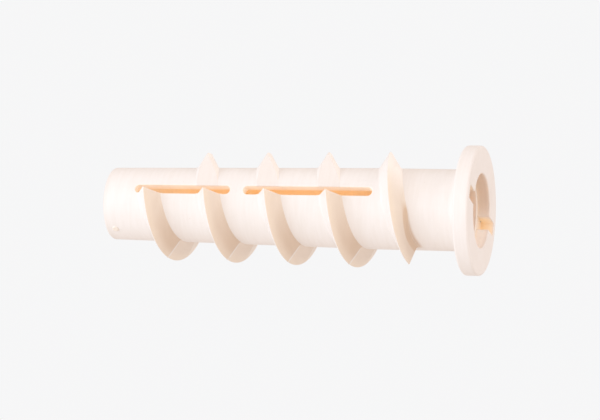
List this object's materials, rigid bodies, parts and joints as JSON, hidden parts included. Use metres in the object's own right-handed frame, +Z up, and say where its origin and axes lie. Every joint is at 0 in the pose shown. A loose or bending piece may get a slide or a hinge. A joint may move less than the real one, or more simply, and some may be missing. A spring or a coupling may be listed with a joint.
{
  "type": "wall anchor",
  "caption": "Screw-in nylon wall anchor for aerated concrete: hollow slotted sleeve with a coarse helical thread and a round collar with a keyed drive recess.",
  "frame": {"origin": "on the anchor's axis, in the plane of the collar's underside, which bears on the wall", "axes": "+X along the anchor's axis towards the collar and the room, -X towards the nose; +Z up as it lies in the reference view, -Y towards the viewer"},
  "size_m": [0.06, 0.02, 0.02],
  "materials": {
    "nylon_body": "natural uncoloured nylon, fine satin",
    "nylon_thread": "natural uncoloured nylon, fine satin, thin crests a little translucent"
  },
  "bodies": {
    "sleeve": {"collar": "nylon_body", "neck_sleeve": "nylon_body", "bridge_ring": "nylon_body", "nose_sleeve": "nylon_body", "bridge_flight": "nylon_thread", "neck_flight": "nylon_thread", "gate_pip": "nylon_body"},
    "tip_lower": {"tip_wall_lower": "nylon_body", "tip_flight_lower_a": "nylon_thread", "tip_flight_lower_b": "nylon_thread"},
    "tip_upper": {"tip_wall_upper": "nylon_body", "tip_flight_upper": "nylon_thread"},
    "mid_lower": {"mid_wall_lower": "nylon_body", "mid_flight_lower_a": "nylon_thread", "mid_flight_lower_b": "nylon_thread"},
    "mid_upper": {"mid_wall_upper": "nylon_body", "mid_flight_upper_a": "nylon_thread", "mid_flight_upper_b": "nylon_thread", "mid_flight_upper_c": "nylon_thread"}
  },
  "joints": [
    {"name": "mid_lower_bow", "type": "slide", "parent": "sleeve", "child": "mid_lower", "axis": [0, -0.4493, -0.8934], "range_m": [0, 0.00045], "stiffness_N_per_m": 60},
    {"name": "mid_upper_bow", "type": "slide", "parent": "sleeve", "child": "mid_upper", "axis": [0, 0.4493, 0.8934], "range_m": [0, 0.00045], "stiffness_N_per_m": 60},
    {"name": "tip_lower_bow", "type": "slide", "parent": "sleeve", "child": "tip_lower", "axis": [0, -0.4493, -0.8934], "range_m": [0, 0.00045], "stiffness_N_per_m": 60},
    {"name": "tip_upper_bow", "type": "slide", "parent": "sleeve", "child": "tip_upper", "axis": [0, 0.4493, 0.8934], "range_m": [0, 0.00045], "stiffness_N_per_m": 60}
  ],
  "couplings": [
    {"joint": "mid_upper_bow", "follows": "mid_lower_bow", "ratio": 1},
    {"joint": "tip_upper_bow", "follows": "tip_lower_bow", "ratio": 1}
  ]
}
